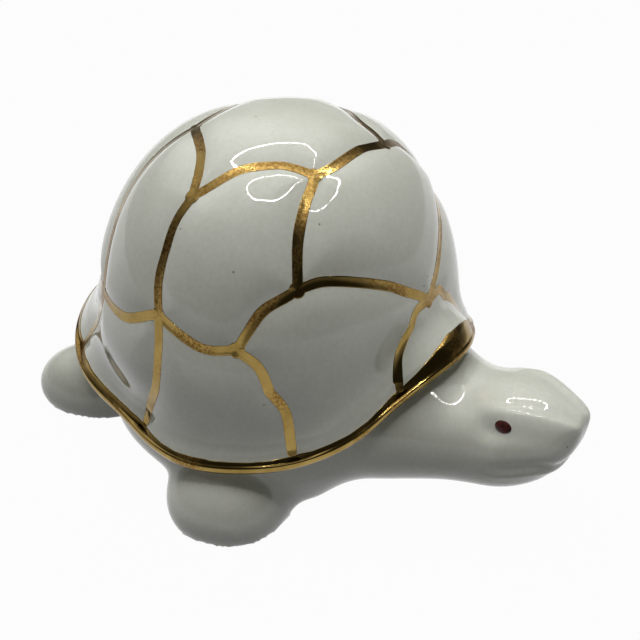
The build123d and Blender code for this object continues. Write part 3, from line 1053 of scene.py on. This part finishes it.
class Finish(NodeTree):
    """A material, with its shader and the object's coordinates at hand."""

    def __init__(self, name):
        self.material = bpy.data.materials.new(name)
        super().__init__(self.material)
        self.shader = self.nodes["Principled BSDF"]
        self.place = self.node("ShaderNodeTexCoord").outputs["Object"]

    def set(self, **values):
        """Feeds the shader's inputs."""
        for key, value in values.items():
            self.feed(self.shader.inputs[key.replace("_", " ")], value)

    def noise(self, scale, detail=3.0, roughness=0.5):
        """Noise on the object's coordinates. The scale counts features in a metre."""
        made = self.node("ShaderNodeTexNoise", self.place, Scale=scale, Detail=detail, Roughness=roughness)
        return made.outputs["Fac"]

    def bump(self, height, strength, distance_mm):
        """Small bumps in the shading, with their full height in millimetres."""
        made = self.node("ShaderNodeBump", Strength=strength, Distance=distance_mm * MM, Height=height)
        self.set(Normal=made.outputs["Normal"])


def grey(level):
    """A colour with the same red, green and blue."""
    return (level, level, level)


# %% [markdown]
# The glaze is a glossy, slightly greenish off-white. On the real piece it is a touch
# mottled, has a faint orange-peel surface, and holds a few dark specks from the kiln. One
# even colour would look like plastic, so three noises and a cell pattern make these.

# %% Glaze
glaze_dark = (0.665, 0.675, 0.59)
glaze_light = (0.725, 0.735, 0.655)
grain_dark = (0.94, 0.94, 0.93)
speck_colour = (0.30, 0.27, 0.22)
glaze = Finish("glaze_off_white")
mottle = glaze.noise(scale=55.0, detail=4.0, roughness=0.55)
tone = glaze.ramp(mottle, [(0.35, glaze_dark), (0.65, glaze_light)])
grain = glaze.noise(scale=900.0, detail=2.0)
grain_tone = glaze.ramp(grain, [(0.3, grain_dark), (0.7, grey(1.0))])
tone = glaze.mix(1.0, tone, grain_tone, "MULTIPLY")
speck = glaze.node("ShaderNodeTexVoronoi", glaze.place, Scale=95.0)
speck_mask = glaze.ramp(speck.outputs["Distance"], [(0.018, grey(1.0)), (0.034, grey(0.0))])
tone = glaze.mix(speck_mask, tone, speck_colour)
glaze.bump(glaze.noise(scale=420.0, detail=2.0), strength=0.05, distance_mm=0.03)
glaze.set(Base_Color=tone, Roughness=0.03, IOR=1.5)
print("glaze nodes", len(glaze.nodes))

# %% [markdown]
# Gold lustre is a real metal film a few thousandths of a millimetre thick. It is a mirror
# where the brush was full, and speckled orange-brown where it ran thin. So two tones are
# made, each with its roughness, and a wide noise says where one gives way to the other.

# %% Gold lustre
mirror_dark = (0.22, 0.145, 0.038)
mirror_light = (0.34, 0.235, 0.076)
thin_dark = (0.14, 0.07, 0.016)
thin_light = (0.34, 0.225, 0.068)
mirror_roughness = 0.13
thin_roughness = 0.34
gold = Finish("gold_lustre")
patch = gold.noise(scale=60.0, detail=2.0)
patch_mask = gold.ramp(patch, [(0.47, grey(0.0)), (0.56, grey(1.0))])
fleck = gold.noise(scale=1500.0, detail=3.0, roughness=0.7)
mirror_tone = gold.ramp(gold.noise(scale=180.0), [(0.3, mirror_dark), (0.7, mirror_light)])
thin_tone = gold.ramp(fleck, [(0.38, thin_dark), (0.6, thin_light)])
rough = gold.ramp(patch_mask, [(0.0, grey(mirror_roughness)), (1.0, grey(thin_roughness))])
gold.bump(fleck, strength=0.35, distance_mm=0.04)
gold.set(Base_Color=gold.mix(patch_mask, mirror_tone, thin_tone), Roughness=rough, Metallic=1.0)
print("gold nodes", len(gold.nodes))

# %% [markdown]
# The eye's enamel is dark red-brown with nearly black blots, and glossy. A noise between
# two colours is enough for a dot of four millimetres.

# %% Enamel
enamel_dark = (0.025, 0.007, 0.006)
enamel_light = (0.095, 0.019, 0.014)
enamel = Finish("eye_enamel")
blot = enamel.noise(scale=900.0, detail=2.0)
blot_tone = enamel.ramp(blot, [(0.35, enamel_dark), (0.65, enamel_light)])
enamel.set(Base_Color=blot_tone, Roughness=0.2, Coat_Weight=0.5)
print("enamel nodes", len(enamel.nodes))

# %% [markdown]
# Every piece gets its finish, and then its place in the shared frame: the body that it
# rides on and the solids that it takes the place of. The real
# ornament is one stiff casting, so all pieces ride on the same body.

# %% Finishes and bodies for every piece
pieces = [(carapace, glaze, ["carapace"], "glaze"), (body, glaze, ["body"], "glaze")]
pieces += [(piece, gold, [node], "gold") for node, piece in gold_pieces.items()]
pieces += [(piece, enamel, [node], "enamel") for node, piece in eyes.items()]
for piece, finish, nodes, slot in pieces:
    piece.data.materials.clear()
    piece.data.materials.append(finish.material)
    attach(piece, "root")
    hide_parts(*nodes)
print("pieces with a finish", len(pieces))

# %% [markdown]
# The stage is a pale floor, a lit room, a ring of lamps and a camera. The ornament stands on
# paper that is almost white to the eye. A floor that was really so white would throw light
# up under the shell, so it is grey to the light, and nearly white only to the camera and in
# reflections. A little of the soft shadow stays.

# %% Floor
floor_size = 1.6
floor_grey = 0.18
floor_glow = 0.97
floor_mesh = bpy.data.meshes.new("floor")
corners = [(-1, -1), (1, -1), (1, 1), (-1, 1)]
floor_mesh.from_pydata([(x * floor_size, y * floor_size, 0) for x, y in corners], [], [(0, 1, 2, 3)])
floor = bpy.data.objects.new("floor", floor_mesh)
scene.collection.objects.link(floor)
paper = Finish("floor_paper")
paper.set(Base_Color=grey(floor_grey), Roughness=0.9)
path = paper.node("ShaderNodeLightPath").outputs
seen = path["Is Camera Ray"]
for ray in ("Is Glossy Ray", "Is Transmission Ray"):
    seen = paper.node("ShaderNodeMath", seen, path[ray], operation="MAXIMUM").outputs[0]
part = paper.node("ShaderNodeMath", seen, floor_glow, operation="MULTIPLY").outputs[0]
bright = paper.node("ShaderNodeEmission", grey(1.0), Strength=1.0).outputs[0]
blend = paper.node("ShaderNodeMixShader", part, paper.shader.outputs[0], bright).outputs[0]
paper.feed(paper.nodes["Material Output"].inputs["Surface"], blend)
floor_mesh.materials.append(paper.material)
print("floor side in metres", 2 * floor_size)

# %% [markdown]
# The soft light comes from a bright ceiling that leans to the rear. It falls off to near
# darkness all round, so that the gold has something dark to mirror, and a faint glow near
# the horizon lights the sides. Area lamps would show as boxes in the glaze, but a world
# whose brightness depends only on the direction has no edges.

# %% The room's light
horizon_level = 0.34
horizon_height = 0.32
ceiling_axis = Vector((-0.42, 0.20, 0.88)).normalized()
ceiling_stops = ((0.0, 0.03), (0.35, 0.03), (0.64, 0.07), (0.92, 1.0))
ceiling_blue = 0.985
world = bpy.data.worlds.new("room")
scene.world = world
room = NodeTree(world)
direction = room.node("ShaderNodeTexCoord").outputs["Generated"]
towards_ceiling = room.node("ShaderNodeVectorMath", direction, ceiling_axis, operation="DOT_PRODUCT")
sky_stops = [(position, (level, level, level * ceiling_blue)) for position, level in ceiling_stops]
sky = room.ramp(towards_ceiling.outputs["Value"], sky_stops, "EASE")
upward = room.node("ShaderNodeSeparateXYZ", direction)
horizon_stops = [(0.0, grey(horizon_level)), (horizon_height, grey(0.0))]
horizon = room.ramp(upward.outputs["Z"], horizon_stops, "EASE")
background = room.nodes["Background"].inputs
room.feed(background["Color"], room.mix(1.0, sky, horizon, "ADD"))
room.feed(background["Strength"], 1.0)
print("room nodes", len(room.nodes))

# %% [markdown]
# The rest of the light comes from a ring of small lamps above the ornament. It throws the
# soft shadow, and the glaze shows it as the thin bright loops on the scutes and the head.
# One round lamp would show as a filled dot, so many points stand side by side on a circle.

# %% The ring of lamps
ring_lamps = 96
ring_distance = 0.55
ring_radius = 0.20
ring_lamp_size = 0.0034
ring_lamp_watts = 0.074
ring_axis = Vector((0.03, 0.12, 0.985)).normalized()
ring_side = ring_axis.cross(Vector((0, 0, 1))).normalized()
ring_up = ring_side.cross(ring_axis)
bead = bpy.data.lights.new("bead", "POINT")
bead.energy = ring_lamp_watts
bead.shadow_soft_size = ring_lamp_size
for number in range(ring_lamps):
    angle = 2 * np.pi * number / ring_lamps
    lamp = bpy.data.objects.new(f"bead_{number:02d}", bead)
    spoke = ring_side * np.cos(angle) + ring_up * np.sin(angle)
    lamp.location = ring_axis * ring_distance + spoke * ring_radius
    scene.collection.objects.link(lamp)
print("lamps", ring_lamps, "of watts each", ring_lamp_watts)

# %% [markdown]
# The camera looks down on the ornament's right side, a little from the front. It is set by
# an azimuth, an elevation and a distance, because those can be changed one at a time.

# %% Camera
camera_azimuth = np.radians(33.0)
camera_elevation = np.radians(33.2)
camera_distance = 0.280
camera_target = Vector((0.012, 0.0, 0.035))
focal_length_mm = 57.27
sensor_width_mm = 36.0
nearest_view = 0.01
lens = bpy.data.cameras.new("camera")
lens.lens = focal_length_mm
lens.sensor_width = sensor_width_mm
lens.clip_start = nearest_view
camera = bpy.data.objects.new("camera", lens)
back = Vector((
    np.sin(camera_azimuth) * np.cos(camera_elevation),
    -np.cos(camera_azimuth) * np.cos(camera_elevation),
    np.sin(camera_elevation),
))
camera.location = camera_target + back * camera_distance
camera.rotation_euler = back.to_track_quat("Z", "Y").to_euler()
scene.collection.objects.link(camera)
scene.camera = camera
scene.view_settings.view_transform = "Standard"
print("camera at", camera.location)
